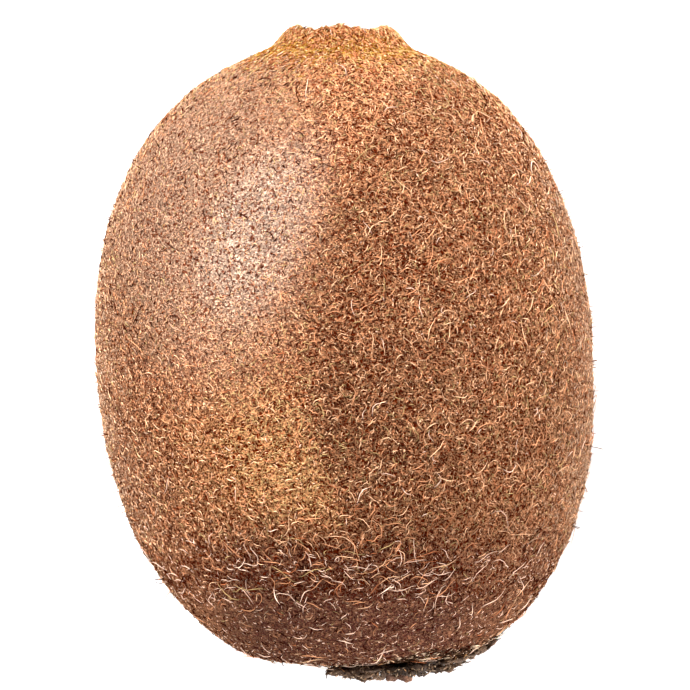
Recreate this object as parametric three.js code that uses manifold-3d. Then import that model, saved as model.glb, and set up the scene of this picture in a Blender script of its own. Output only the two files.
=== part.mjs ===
// A whole kiwi fruit lying on its side, in millimetres, +Z up.
// The long axis runs along Y: the blossom end points to +Y and the stem end to -Y.
// The origin is the middle of the small flat spot on which the fruit rests.
import * as THREE from "three";
import { mergeVertices } from "three/addons/utils/BufferGeometryUtils.js";
import Module from "manifold-3d";

const wasm = await Module();
wasm.setup();

// Driving dimensions of the fruit
const WIDTH = 51.7;
const HEIGHT = 47.6;
const REACH_BLOSSOM = 32.4; // from the broadest place to the skin at the blossom end
const REACH_STEM = 34; // the same towards the stem, before that end is flattened
const FULLNESS = 2.24; // 2 would be an ellipse, more is blunter
const FLAT_FROM = 30.8; // the stem end flattens beyond this distance
const FLAT_RANGE = 1.9;
const REST_DEPTH = 0.35; // how far the weight has flattened the underside

// Raised collar round the blossom end
const COLLAR_RADIUS = 5.2;
const COLLAR_RISE = 1.85;
const COLLAR_OUTER = 1.45;
const COLLAR_INNER = 1.6;
const COLLAR_LOBES = 6;
const COLLAR_RIDGES = 20;

// Dimple round the stalk, which sits a little to one side
const STALK_X = 5.8;
const STALK_Z = 0.6;
const DIMPLE_RADIUS = 4.4;
const DIMPLE_DEPTH = 0.75;

// Low swells in the skin
const SWELL_HEIGHT = 0.05;
const SWELL_PITCH = 7.5;

// Mesh density of the fruit: turns round the axis, rows along it
const TURNS = 80;
const BODY_ROWS = 34;
const BLOSSOM_RINGS = [1.3, 2.3, 3.1, 3.8, 4.4, 4.9, 5.4, 5.9, 6.5, 7.2, 8, 9, 10.2];
const STEM_RINGS = [10.4, 8.9, 7.5, 6.2, 5, 3.9, 2.8, 1.5];

// Dried remains
const GAP = 0.35; // air between neighbouring pieces
const SEPALS = [
  // direction in degrees, length, breadth, curl of the tip
  [10, 9.9, 5.2, 0.1],
  [74, 6.6, 6.4, 0.5],
  [152, 8.0, 6.2, 0.3],
  [222, 7.2, 6.6, 0.6],
  [298, 6.4, 6.2, 0.5],
];
const SEPAL_THICKNESS = 0.7;
const RECEPTACLE_OUTER = 3.9;
const RECEPTACLE_INNER = 1.95;
const RECEPTACLE_THICKNESS = 1.0;
const STAMENS = 36;
const STUB_RADIUS = 1.5;
const STUB_HEIGHT = 2.5;
const STYLES = 26;
const STYLE_BOSS_RADIUS = 1.5;

const half = { width: WIDTH / 2, height: HEIGHT / 2 };
const axisHeight = half.height - REST_DEPTH;

/** Seeded draw from 0 to 1, so that the part is the same each time. */
function seeded(seed) {
  let state = seed >>> 0;
  return () => {
    state = (state * 1664525 + 1013904223) >>> 0;
    return state / 2 ** 32;
  };
}

function smooth(low, high, x) {
  return THREE.MathUtils.smoothstep(x, low, high);
}

/** How far the egg shape reaches from its broadest place on the side of s. */
function reachAt(s) {
  return s > 0 ? REACH_BLOSSOM : REACH_STEM;
}

/** Share of the full breadth that is left at place s along the axis. */
function taperAt(s) {
  return Math.max(0, 1 - Math.abs(s / reachAt(s)) ** FULLNESS) ** (1 / FULLNESS);
}

/** Place along the axis, towards an end, where a given share of the breadth is left. */
function placeAtShare(share, end) {
  return end * reachAt(end) * Math.max(0, 1 - share ** FULLNESS) ** (1 / FULLNESS);
}

/** Height along Y of place s, with the stem end flattened. */
function settledAt(s) {
  const over = -s - FLAT_FROM;
  return over > 0 ? -FLAT_FROM - FLAT_RANGE * (1 - Math.exp(-over / FLAT_RANGE)) : s;
}

/** Sideways lean of the fruit's middle line, which isn't quite straight. */
function leanAt(s) {
  const t = s / 32.6;
  return 0.07 - 1.57 * t + 0.57 * t ** 2 + 0.7 * t ** 3;
}

/** Broad unevenness of the body, as a share of its radius. */
function lumpsAt(angle, s) {
  return 1 + 0.01 * Math.sin(2 * angle + 0.05 * s) * Math.sin(angle + 0.4) + 0.004 * Math.sin(4 * angle - 0.07 * s);
}

/** Height of the collar's raised rim at a distance from the fruit's axis. */
function collarAt(distance, angle) {
  const lobes = 1 + 0.1 * Math.cos(COLLAR_LOBES * (angle - Math.PI / 6)) + 0.05 * Math.cos(3 * angle + 1);
  const ridges = 1 + 0.07 * Math.cos(COLLAR_RIDGES * angle + 1.2 * Math.sin(2 * angle));
  const radius = COLLAR_RADIUS * (1 + 0.03 * Math.cos(2 * angle));
  const off = distance - radius;
  const spread = off > 0 ? COLLAR_OUTER : COLLAR_INNER;
  return COLLAR_RISE * lobes * ridges * Math.exp(-((Math.abs(off) / spread) ** 2.4));
}

/** Crossing low swells, which keep the skin from being perfectly smooth. */
function swellAt(p) {
  const k = (2 * Math.PI) / SWELL_PITCH;
  const a = Math.sin(k * p.x + 1.4 * Math.sin(0.55 * k * p.y + 0.4 * p.z));
  const b = Math.sin(k * p.y + 1.7 * Math.sin(0.47 * k * p.z + 0.9));
  const c = Math.sin(k * p.z + 1.2 * Math.sin(0.61 * k * p.x - 0.7));
  return SWELL_HEIGHT * (a * b + b * c + c * a);
}

/** Point of the skin at place s along the axis and an angle round it. */
function skinPoint(s, angle) {
  const breadth = taperAt(s) * lumpsAt(angle, s);
  const x = half.width * breadth * Math.cos(angle);
  const z = half.height * breadth * Math.sin(angle);
  const p = new THREE.Vector3(x + leanAt(s), settledAt(s), z + axisHeight);
  if (s > 0) p.y += collarAt(Math.hypot(x, z), angle);
  else p.y += DIMPLE_DEPTH * Math.exp(-((Math.hypot(p.x - STALK_X, z - STALK_Z) / DIMPLE_RADIUS) ** 2));
  return p;
}

/** Outward direction of the egg shape under the skin. */
function outwardAt(s, angle) {
  const breadth = Math.max(taperAt(s), 1e-3);
  const slope = (Math.sign(s) * Math.abs(s / reachAt(s)) ** (FULLNESS - 1)) / reachAt(s);
  const around = breadth ** (FULLNESS - 1);
  return new THREE.Vector3(
    (around * Math.cos(angle)) / half.width,
    slope,
    (around * Math.sin(angle)) / half.height,
  ).normalize();
}

/** Place and angle of the skin that lies behind a point of the plan seen along Y. */
function skinBehind(end, x, z) {
  let [low, high] = [0, 1];
  let angle = 0;
  for (let i = 0; i < 40; i++) {
    const share = (low + high) / 2;
    const s = placeAtShare(share, end);
    const [u, v] = [(x - leanAt(s)) / half.width, z / half.height];
    angle = Math.atan2(v, u);
    if (Math.hypot(u, v) > share * lumpsAt(angle, s)) low = share;
    else high = share;
  }
  return [placeAtShare(low, end), angle];
}

/** A closed three.js geometry as a solid for joining and cutting. */
function solidOf(geometry) {
  const bare = geometry.clone();
  bare.deleteAttribute("normal");
  bare.deleteAttribute("uv");
  const merged = mergeVertices(bare, 1e-4);
  return new wasm.Manifold(
    new wasm.Mesh({
      numProp: 3,
      vertProperties: new Float32Array(merged.attributes.position.array),
      triVerts: new Uint32Array(merged.index.array),
    }),
  );
}

/** A joined solid as a geometry: its outer skin, with no loose bits or hollows left inside. */
function geometryOf(solid) {
  const mesh = solid.getMesh();
  const index = outerSkin(mesh.vertProperties, mesh.triVerts);
  const geometry = new THREE.BufferGeometry();
  geometry.setAttribute("position", new THREE.BufferAttribute(new Float32Array(mesh.vertProperties), 3));
  geometry.setIndex(new THREE.BufferAttribute(index, 1));
  geometry.computeVertexNormals();
  return mergeVertices(geometry, 1e-5);
}

/** Faces of the connected shell that encloses the most volume. */
function outerSkin(points, faces) {
  const owner = Array.from({ length: points.length / 3 }, (_, i) => i);
  const root = (i) => {
    while (owner[i] !== i) i = owner[i] = owner[owner[i]];
    return i;
  };
  for (let i = 0; i < faces.length; i += 3) {
    owner[root(faces[i + 1])] = root(faces[i]);
    owner[root(faces[i + 2])] = root(faces[i]);
  }
  const corner = (i) => new THREE.Vector3(points[3 * i], points[3 * i + 1], points[3 * i + 2]);
  const volume = new Map();
  for (let i = 0; i < faces.length; i += 3) {
    const [a, b, c] = [corner(faces[i]), corner(faces[i + 1]), corner(faces[i + 2])];
    const shell = root(faces[i]);
    volume.set(shell, (volume.get(shell) ?? 0) + a.dot(b.cross(c)));
  }
  const largest = [...volume.entries()].sort((a, b) => b[1] - a[1])[0][0];
  const kept = [];
  for (let i = 0; i < faces.length; i += 3)
    if (root(faces[i]) === largest) kept.push(faces[i], faces[i + 1], faces[i + 2]);
  return new Uint32Array(kept);
}

function joined(geometries) {
  return geometries.map(solidOf).reduce((whole, next) => whole.add(next));
}

/** Closes a grid of points, rows by columns, whose front and back faces are both given. */
function bladeGeometry(front, back) {
  const rows = front.length;
  const columns = front[0].length;
  const points = [...front.flat(), ...back.flat()];
  const faces = [];
  const at = (side, r, c) => side * rows * columns + r * columns + c;
  for (let r = 0; r + 1 < rows; r++)
    for (let c = 0; c + 1 < columns; c++) {
      faces.push(at(0, r, c), at(0, r, c + 1), at(0, r + 1, c));
      faces.push(at(0, r, c + 1), at(0, r + 1, c + 1), at(0, r + 1, c));
      faces.push(at(1, r, c), at(1, r + 1, c), at(1, r, c + 1));
      faces.push(at(1, r, c + 1), at(1, r + 1, c), at(1, r + 1, c + 1));
    }
  const rim = [];
  for (let c = 0; c + 1 < columns; c++) rim.push([0, c]);
  for (let r = 0; r + 1 < rows; r++) rim.push([r, columns - 1]);
  for (let c = columns - 1; c > 0; c--) rim.push([rows - 1, c]);
  for (let r = rows - 1; r > 0; r--) rim.push([r, 0]);
  rim.forEach(([r, c], i) => {
    const [r2, c2] = rim[(i + 1) % rim.length];
    faces.push(at(0, r, c), at(1, r, c), at(0, r2, c2));
    faces.push(at(0, r2, c2), at(1, r, c), at(1, r2, c2));
  });
  const geometry = new THREE.BufferGeometry().setFromPoints(points);
  geometry.setIndex(faces);
  return facingOut(geometry);
}

/** Turns a closed geometry's faces round if they point inwards. */
function facingOut(geometry) {
  const p = geometry.attributes.position;
  const index = geometry.index.array;
  const [a, b, c] = [new THREE.Vector3(), new THREE.Vector3(), new THREE.Vector3()];
  let volume = 0;
  for (let i = 0; i < index.length; i += 3) {
    a.fromBufferAttribute(p, index[i]);
    b.fromBufferAttribute(p, index[i + 1]);
    c.fromBufferAttribute(p, index[i + 2]);
    volume += a.dot(b.cross(c));
  }
  if (volume < 0)
    for (let i = 0; i < index.length; i += 3) [index[i + 1], index[i + 2]] = [index[i + 2], index[i + 1]];
  return geometry;
}

/** A thin three-sided strand through the given points, thickest at its root. */
function strandGeometry(path, rootRadius, tipRadius) {
  const sides = 3;
  const points = [];
  const faces = [];
  path.forEach((p, i) => {
    const along = path[Math.min(i + 1, path.length - 1)].clone().sub(path[Math.max(i - 1, 0)]).normalize();
    const u = new THREE.Vector3(0.31, 0.17, 0.93).cross(along).normalize();
    const v = along.clone().cross(u);
    const radius = THREE.MathUtils.lerp(rootRadius, tipRadius, i / (path.length - 1));
    for (let s = 0; s < sides; s++) {
      const turn = (2 * Math.PI * s) / sides;
      points.push(p.clone().addScaledVector(u, radius * Math.cos(turn)).addScaledVector(v, radius * Math.sin(turn)));
    }
  });
  for (let i = 0; i + 1 < path.length; i++)
    for (let s = 0; s < sides; s++) {
      const [a, b] = [i * sides + s, i * sides + ((s + 1) % sides)];
      faces.push(a, b, a + sides, b, b + sides, a + sides);
    }
  const last = (path.length - 1) * sides;
  faces.push(0, 2, 1, last, last + 1, last + 2);
  const geometry = new THREE.BufferGeometry().setFromPoints(points);
  geometry.setIndex(faces);
  return facingOut(geometry);
}

/** Places of the mesh rows along the axis, from the stem end to the blossom end. */
function rowPlaces() {
  const places = [-REACH_STEM, ...STEM_RINGS.map((r) => placeAtShare(r / half.width, -1)).reverse()];
  const first = Math.asin((STEM_RINGS[0] / half.width) ** (FULLNESS / 2));
  const last = Math.PI - Math.asin((BLOSSOM_RINGS.at(-1) / half.width) ** (FULLNESS / 2));
  for (let row = 1; row < BODY_ROWS; row++) {
    const turn = THREE.MathUtils.lerp(first, last, row / BODY_ROWS);
    places.push(placeAtShare(Math.sin(turn) ** (2 / FULLNESS), turn < Math.PI / 2 ? -1 : 1));
  }
  places.push(...BLOSSOM_RINGS.map((r) => placeAtShare(r / half.width, 1)).reverse(), REACH_BLOSSOM);
  return places.sort((a, b) => a - b);
}

/** The berry: body, collar and dimple in one skin, with a flat spot underneath. */
function fruitGeometry() {
  const places = rowPlaces();
  const profile = places.map((s, i) => new THREE.Vector2(i > 0 && i < places.length - 1 ? 1 : 0, s));
  const geometry = new THREE.LatheGeometry(profile, TURNS);
  const position = geometry.attributes.position;
  const p = new THREE.Vector3();
  for (let i = 0; i < position.count; i++) {
    p.fromBufferAttribute(position, i);
    const angle = Math.hypot(p.x, p.z) < 0.5 ? 0 : Math.atan2(p.z, p.x);
    const skin = skinPoint(p.y, angle);
    const quiet = smooth(0.4, 3.5, skin.z) * smooth(0, 0.45, taperAt(p.y));
    skin.addScaledVector(outwardAt(p.y, angle), swellAt(skin) * quiet);
    position.setXYZ(i, skin.x, skin.y, skin.z);
  }
  const table = new THREE.BoxGeometry(4 * WIDTH, 8 * REACH_STEM, HEIGHT).translate(0, 0, -HEIGHT / 2);
  return geometryOf(solidOf(facingOut(geometry)).subtract(solidOf(table)));
}

/** Point over the skin near an end, at a distance and angle from a centre seen along Y. */
function overSkin(end, centre, distance, angle, height) {
  const [s, around] = skinBehind(end, centre[0] + distance * Math.cos(angle), centre[1] + distance * Math.sin(angle));
  const out = outwardAt(s, around);
  out.lerp(new THREE.Vector3(0, end, 0), 0.5 * smooth(6, 0, distance)).normalize();
  return skinPoint(s, around).addScaledVector(out, height);
}

const stalk = [STALK_X, STALK_Z];
const blossom = [leanAt(REACH_BLOSSOM), 0];

/** One withered sepal: a folded blade with a ragged, curling edge. */
function sepalGeometry([degrees, length, breadth, curl], draw) {
  const [rows, columns] = [8, 7];
  const middle = THREE.MathUtils.degToRad(degrees);
  const wave = 6.28 * draw();
  const twist = 0.2 * (draw() - 0.5);
  const sides = [1, 0].map((top) =>
    Array.from({ length: rows + 1 }, (_, r) =>
      Array.from({ length: columns + 1 }, (_, c) => {
        const t = r / rows;
        const across = (2 * c) / columns - 1;
        const shape = 0.62 + 0.38 * Math.sin(Math.PI * Math.min(1, 0.1 + 1.05 * t));
        const ragged = 0.75 * Math.sin(5.5 * across + wave) * smooth(0.6, 1, t) - 1.5 * t ** 3 * across ** 2;
        const distance = 2.7 + (length - 2.7) * t + ragged;
        const angle = middle + twist * t + (0.5 * across * breadth * shape) / Math.max(distance, 3.2);
        const fold = 0.17 * t * (1 + Math.sin(4.6 * across + wave)) + 0.1 * t * (1 + Math.sin(9 * t + 2 * wave));
        const lift = GAP + 0.05 + curl * smooth(0.45, 1, t) ** 2 + fold;
        return overSkin(-1, stalk, distance, angle, lift + top * SEPAL_THICKNESS);
      }),
    ),
  );
  return bladeGeometry(sides[0], sides[1]);
}

/** Flat ring that carries the sepals and the stamens. */
function receptacleGeometry() {
  const [low, high] = [GAP, GAP + RECEPTACLE_THICKNESS];
  const [inner, outer] = [RECEPTACLE_INNER, RECEPTACLE_OUTER];
  const ring = [
    new THREE.Vector2(inner, low),
    new THREE.Vector2(outer, low),
    new THREE.Vector2(outer + 0.2, (low + high) / 2),
    new THREE.Vector2(outer - 0.3, high),
    new THREE.Vector2(inner + 0.2, high + 0.2),
    new THREE.Vector2(inner, low),
  ];
  const geometry = new THREE.LatheGeometry(ring, 30);
  const position = geometry.attributes.position;
  for (let i = 0; i < position.count; i++) {
    const [x, height, z] = [position.getX(i), position.getY(i), position.getZ(i)];
    const p = overSkin(-1, stalk, Math.hypot(x, z), Math.atan2(z, x), height);
    position.setXYZ(i, p.x, p.y, p.z);
  }
  return facingOut(geometry);
}

/** A dry filament that leaves the receptacle and bends over. */
function stamenGeometry(order, draw) {
  const angle = (2 * Math.PI * order) / STAMENS + 0.25 * (draw() - 0.5);
  const start = THREE.MathUtils.lerp(RECEPTACLE_INNER + 0.45, RECEPTACLE_OUTER - 0.45, draw());
  const reach = 1.4 + 3 * draw();
  const height = 0.6 + 1.0 * draw();
  const drift = 0.5 * (draw() - 0.5);
  const path = [0, 0.4, 0.75, 1].map((t) => {
    const lift = GAP + 0.85 + height * Math.sin(Math.PI * (0.1 + 0.7 * t));
    return overSkin(-1, stalk, start + reach * t ** 1.3, angle + drift * t, lift);
  });
  return strandGeometry(path, 0.36, 0.2);
}

/** Sepals, receptacle and stamens, dried brown and grown together. */
function calyxGeometry() {
  const draw = seeded(23);
  const pieces = [receptacleGeometry()];
  for (const sepal of SEPALS) pieces.push(sepalGeometry(sepal, draw));
  for (let i = 0; i < STAMENS; i++) pieces.push(stamenGeometry(i, draw));
  return geometryOf(joined(pieces));
}

/** Short woody stub where the fruit was snapped off its stalk, hollow at the pith. */
function stubGeometry() {
  const [low, high] = [GAP, GAP + STUB_HEIGHT];
  const outline = [
    new THREE.Vector2(0, low),
    new THREE.Vector2(STUB_RADIUS * 0.95, low),
    new THREE.Vector2(STUB_RADIUS, low + 0.5),
    new THREE.Vector2(STUB_RADIUS * 0.9, low + 1.3),
    new THREE.Vector2(STUB_RADIUS * 0.95, high - 0.35),
    new THREE.Vector2(STUB_RADIUS * 0.8, high),
    new THREE.Vector2(STUB_RADIUS * 0.5, high - 0.12),
    new THREE.Vector2(STUB_RADIUS * 0.25, high - 0.6),
    new THREE.Vector2(0, high - 0.75),
  ];
  const geometry = new THREE.LatheGeometry(outline, 20);
  const position = geometry.attributes.position;
  const foot = overSkin(-1, stalk, 0, 0, 0);
  for (let i = 0; i < position.count; i++) {
    const [x, height, z] = [position.getX(i), position.getY(i), position.getZ(i)];
    const distance = Math.hypot(x, z);
    const angle = distance < 1e-6 ? 0 : Math.atan2(z, x);
    const torn = height > high - 0.4 ? 0.22 * Math.sin(2 * angle + 0.5) * (distance / STUB_RADIUS) : 0;
    position.setXYZ(i, foot.x + x, foot.y - height - torn, foot.z + z);
  }
  return facingOut(geometry);
}

/** One dried style, which leans out over the cup inside the collar and curls at its tip. */
function styleGeometry(order, draw) {
  const angle = (2 * Math.PI * order) / STYLES + 0.15 * (draw() - 0.5);
  const reach = 1.6 + 0.8 * draw();
  const height = 0.35 + 0.4 * draw();
  const drift = 0.5 * (draw() - 0.5);
  const path = [0, 0.4, 0.75, 1].map((t) => {
    const lift = GAP + 0.4 + height * Math.sin(Math.PI * (0.1 + 0.6 * t));
    return overSkin(1, blossom, 0.7 + reach * t, angle + drift * t * t, lift);
  });
  return strandGeometry(path, 0.34, 0.2);
}

/** Woody boss in the cup with the dried styles spreading from it. */
function stylesGeometry() {
  const draw = seeded(10);
  const outline = [
    new THREE.Vector2(0, GAP),
    new THREE.Vector2(STYLE_BOSS_RADIUS * 0.9, GAP),
    new THREE.Vector2(STYLE_BOSS_RADIUS, GAP + 0.4),
    new THREE.Vector2(STYLE_BOSS_RADIUS * 0.7, GAP + 0.8),
    new THREE.Vector2(STYLE_BOSS_RADIUS * 0.3, GAP + 1),
    new THREE.Vector2(0, GAP + 1.05),
  ];
  const boss = new THREE.LatheGeometry(outline, 18);
  const position = boss.attributes.position;
  const foot = overSkin(1, blossom, 0, 0, 0);
  for (let i = 0; i < position.count; i++)
    position.setXYZ(i, foot.x + position.getX(i), foot.y + position.getY(i), foot.z + position.getZ(i));
  const pieces = [facingOut(boss)];
  for (let i = 0; i < STYLES; i++) pieces.push(styleGeometry(i, draw));
  return geometryOf(joined(pieces));
}

const finishes = {
  skin: new THREE.MeshStandardMaterial({ color: 0xa8734a, roughness: 0.92, metalness: 0 }),
  calyx: new THREE.MeshStandardMaterial({ color: 0x4a362a, roughness: 0.95, metalness: 0 }),
  wood: new THREE.MeshStandardMaterial({ color: 0x8a6a4a, roughness: 0.9, metalness: 0 }),
  styles: new THREE.MeshStandardMaterial({ color: 0x3d2c20, roughness: 0.95, metalness: 0 }),
};

function named(name, geometry, finish) {
  const mesh = new THREE.Mesh(geometry, finish);
  mesh.name = name;
  return mesh;
}

const kiwi = new THREE.Group();
kiwi.add(named("fruit", fruitGeometry(), finishes.skin));
kiwi.add(named("dried_calyx", calyxGeometry(), finishes.calyx));
kiwi.add(named("stalk_stub", stubGeometry(), finishes.wood));
kiwi.add(named("dried_styles", stylesGeometry(), finishes.styles));

export default kiwi;
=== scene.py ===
"""Looks of a whole kiwi fruit lying on its side: felted skin, mesh fuzz and dried remains."""

import logging
import math
from dataclasses import dataclass
from enum import Enum, IntEnum
from typing import Any

import bpy
import numpy as np
from mathutils.bvhtree import BVHTree
from mathutils.kdtree import KDTree
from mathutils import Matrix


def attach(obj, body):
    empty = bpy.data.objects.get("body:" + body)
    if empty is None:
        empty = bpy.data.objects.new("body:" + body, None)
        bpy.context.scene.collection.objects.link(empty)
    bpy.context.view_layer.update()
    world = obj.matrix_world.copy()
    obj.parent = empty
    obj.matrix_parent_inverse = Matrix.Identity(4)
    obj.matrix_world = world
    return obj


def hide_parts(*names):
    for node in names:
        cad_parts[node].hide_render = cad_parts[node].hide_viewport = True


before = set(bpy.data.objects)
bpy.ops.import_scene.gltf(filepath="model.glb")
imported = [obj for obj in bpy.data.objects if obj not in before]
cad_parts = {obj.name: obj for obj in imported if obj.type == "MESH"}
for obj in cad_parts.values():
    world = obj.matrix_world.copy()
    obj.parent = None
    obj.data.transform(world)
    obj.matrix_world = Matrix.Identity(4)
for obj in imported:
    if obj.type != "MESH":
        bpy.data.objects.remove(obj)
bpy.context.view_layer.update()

MM = 0.001
Colour = tuple[float, float, float]
log = logging.getLogger("kiwi")

# The hair map has a column for each tone in each of its shades, the dimmest first.
TONES = 8
SHADES = 8
DIMMEST, SHADE_STEP = 0.6, 0.1
HAIR_MAP = "OFBake"
MOST_FACES = 190000

# Zones of the fruit in millimetres: where each one starts and where it is full.
UPPER_SIDE = (16.0, 32.0)
COLLAR = (22.0, 31.0)
STEM_END = (-17.0, -25.0)

# The left flank's ridge runs along x = -6.6 + 0.0155 (y - 0.5)^2. Its flank carries a painted highlight and the
# side past it painted shade.
RIDGE_SHIFT, RIDGE_Y, RIDGE_BEND = 6.6, 0.5, 0.0155
FLANK_RISE, FLANK_FALL, FLANK_FOOT = (-16.5, -4.5), (-0.9, 5.2), (-21.0, -14.0)

# The pale sheen on the left shoulder, a painted highlight where the hair is also thinner, is an ellipse about x =
# -14.5, y = 15.
SHEEN_SHIFT, SHEEN_Y = 14.5, 15.0
SHEEN_FALL, SHEEN_END = (0.0145, 0.0065), 3.8

FUZZ_TONES = (
    (0.045, 0.004, 0.0005),
    (0.17, 0.035, 0.007),
    (0.42, 0.135, 0.056),
    (0.70, 0.315, 0.155),
    (0.93, 0.55, 0.32),
    (0.50, 0.335, 0.145),
    (0.90, 0.61, 0.46),
    (0.52, 0.33, 0.215),
)
GOLD_TONES = (
    (0.10, 0.022, 0.003),
    (0.22, 0.06, 0.01),
    (0.20, 0.06, 0.006),
    (0.28, 0.10, 0.011),
    (0.32, 0.135, 0.017),
    (0.38, 0.19, 0.03),
    (0.44, 0.24, 0.042),
    (0.60, 0.38, 0.10),
)
STRAW_TONES = (
    (0.025, 0.012, 0.006),
    (0.07, 0.036, 0.02),
    (0.15, 0.085, 0.05),
    (0.24, 0.145, 0.085),
    (0.34, 0.22, 0.135),
    (0.48, 0.33, 0.21),
    (0.74, 0.54, 0.37),
    (0.72, 0.38, 0.17),
)


class Level:
    """A number that varies over a surface, for use in Python arithmetic."""

    def __init__(self, graph: "Graph", socket: bpy.types.NodeSocket) -> None:
        """Keeps the node socket that carries the number.

        Args:
            graph: The material's graph.
            socket: The output socket.
        """
        self.graph, self.socket = graph, socket

    def math(self, operation: str, *others: Any) -> "Level":
        """Adds a Math node on this number.

        Args:
            operation: The node's operation.
            others: Further numbers or levels.

        Returns:
            The result.
        """
        values = {i + 1: v for i, v in enumerate(others)}
        return self.graph.add("ShaderNodeMath", {"operation": operation}, {0: self, **values})

    def __add__(self, other: Any) -> "Level":
        """Sum."""
        return self.math("ADD", other)

    def __sub__(self, other: Any) -> "Level":
        """Difference."""
        return self.math("SUBTRACT", other)

    def __mul__(self, other: Any) -> "Level":
        """Product."""
        return self.math("MULTIPLY", other)

    def __rsub__(self, other: float) -> "Level":
        """Difference from a plain number."""
        return self.graph.add("ShaderNodeMath", {"operation": "SUBTRACT"}, {0: other, 1: self})

    __radd__, __rmul__ = __add__, __mul__

    def ramp(self, low: float, high: float, start: float = 0.0, end: float = 1.0) -> "Level":
        """Smooth step from low to high.

        Args:
            low: Where the step starts.
            high: Where it ends.
            start: Value below low.
            end: Value above high.

        Returns:
            The stepped level.
        """
        settings = {"interpolation_type": "SMOOTHSTEP"}
        return self.graph.add("ShaderNodeMapRange", settings, {0: self, 1: low, 2: high, 3: start, 4: end})


class Graph:
    """The shader graph of one material, ended by a Principled shader."""

    def __init__(self, name: str, **constants: float) -> None:
        """Starts a material.

        Args:
            name: The material's name.
            constants: Values of the Principled shader's sockets, with _ for a space.
        """
        self.material = bpy.data.materials.new(name)
        self.material.use_nodes = True
        self.tree = self.material.node_tree
        self.tree.nodes.clear()
        end = self.tree.nodes.new("ShaderNodeOutputMaterial")
        self.shader = self.tree.nodes.new("ShaderNodeBsdfPrincipled")
        self.tree.links.new(self.shader.outputs[0], end.inputs[0])
        for key, value in constants.items():
            self.shader.inputs[key.replace("_", " ")].default_value = value

    def add(self, kind: str, settings: dict[str, Any], sockets: dict[Any, Any], out: Any = 0) -> Level:
        """Adds a node.

        Args:
            kind: The node's type.
            settings: Its properties, set before its sockets; bands are a ramp's colours.
            sockets: Values or levels of its input sockets.
            out: The output to return.

        Returns:
            That output.
        """
        node = self.tree.nodes.new(kind)
        for key, value in settings.items():
            if key == "bands":
                self._bands(node.color_ramp, value)
            else:
                setattr(node, key, value)
        for key, value in sockets.items():
            if isinstance(value, Level):
                self.tree.links.new(value.socket, node.inputs[key])
            else:
                node.inputs[key].default_value = value
        return Level(self, node.outputs[out])

    @staticmethod
    def _bands(ramp: bpy.types.ColorRamp, colours: tuple[Colour, ...]) -> None:
        """Sets a colour ramp to equal bands of plain colours.

        Args:
            ramp: The ramp.
            colours: Colour of each band.
        """
        ramp.interpolation = "CONSTANT"
        while len(ramp.elements) < len(colours):
            ramp.elements.new(0.5)
        for i, (element, colour) in enumerate(zip(ramp.elements, colours)):
            element.position = i / len(colours)
            element.color = (*colour, 1.0)

    def place(self) -> Level:
        """Point of the surface in millimetres."""
        point = self.add("ShaderNodeTexCoord", {}, {}, "Object")
        return self.add("ShaderNodeVectorMath", {"operation": "SCALE"}, {0: point, "Scale": 1000.0})

    def axes(self, point: Level) -> list[Level]:
        """X, Y and Z of a point."""
        node = self.add("ShaderNodeSeparateXYZ", {}, {0: point}).socket.node
        return [Level(self, node.outputs[i]) for i in range(3)]

    def noise(self, point: Level, size: float, detail: float = 2.0, twist: float = 0.0) -> Level:
        """Noise from 0 to 1.

        Args:
            point: Where it is read, in millimetres.
            size: Size of its features in millimetres.
            detail: Octaves of finer noise.
            twist: Distortion.

        Returns:
            The noise.
        """
        sockets = {"Vector": point, "Scale": 1.0 / size, "Detail": detail, "Distortion": twist}
        return self.add("ShaderNodeTexNoise", {}, sockets, "Fac")

    def strands(self, point: Level, size: float, breadth: float, shift: float) -> Level:
        """Curly lines, as of matted hair: 1 on a line and 0 between the lines.

        Args:
            point: Where it is read, in millimetres.
            size: Size of the curls in millimetres.
            breadth: Breadth of the lines, as a share of the noise's range.
            shift: Moves the pattern, in millimetres, so that two of them differ.

        Returns:
            The pattern.
        """
        moved = self.add("ShaderNodeVectorMath", {"operation": "ADD"}, {0: point, 1: (shift, shift, shift)})
        field = self.noise(moved, size, 0.0, 0.8)
        return (field - 0.5).math("ABSOLUTE").ramp(0.0, breadth, 1.0, 0.0)

    def mix(self, factor: Any, low: Any, high: Any, blend: str = "MIX") -> Level:
        """Mixes two colours.

        Args:
            factor: Share of the second colour.
            low: First colour.
            high: Second colour.
            blend: Blend type.

        Returns:
            The mixed colour.
        """
        colours = [c if isinstance(c, Level) else (*c, 1.0) for c in (low, high)]
        settings = {"data_type": "RGBA", "blend_type": blend, "clamp_factor": True}
        return self.add("ShaderNodeMix", settings, {0: factor, 6: colours[0], 7: colours[1]}, 2)

    def dim(self, colour: Level, level: Level) -> Level:
        """Scales a colour's brightness by a level."""
        return self.add("ShaderNodeVectorMath", {"operation": "SCALE"}, {0: colour, "Scale": level})

    def finish(
        self, colour: Level, roughness: Any = None, height: Level | None = None, depth: float = 0.1
    ) -> None:
        """Links what varies over the surface to the shader.

        Args:
            colour: Base colour.
            roughness: Level of the roughness, if it varies.
            height: Level of the relief, if there is one.
            depth: Depth of the relief in millimetres.
        """
        self.tree.links.new(colour.socket, self.shader.inputs["Base Color"])
        if roughness is not None:
            self.tree.links.new(roughness.socket, self.shader.inputs["Roughness"])
        if height is not None:
            sockets = {"Strength": 1.0, "Distance": depth * MM, "Height": height}
            bump = self.add("ShaderNodeBump", {}, sockets, "Normal")
            self.tree.links.new(bump.socket, self.shader.inputs["Normal"])


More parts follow.
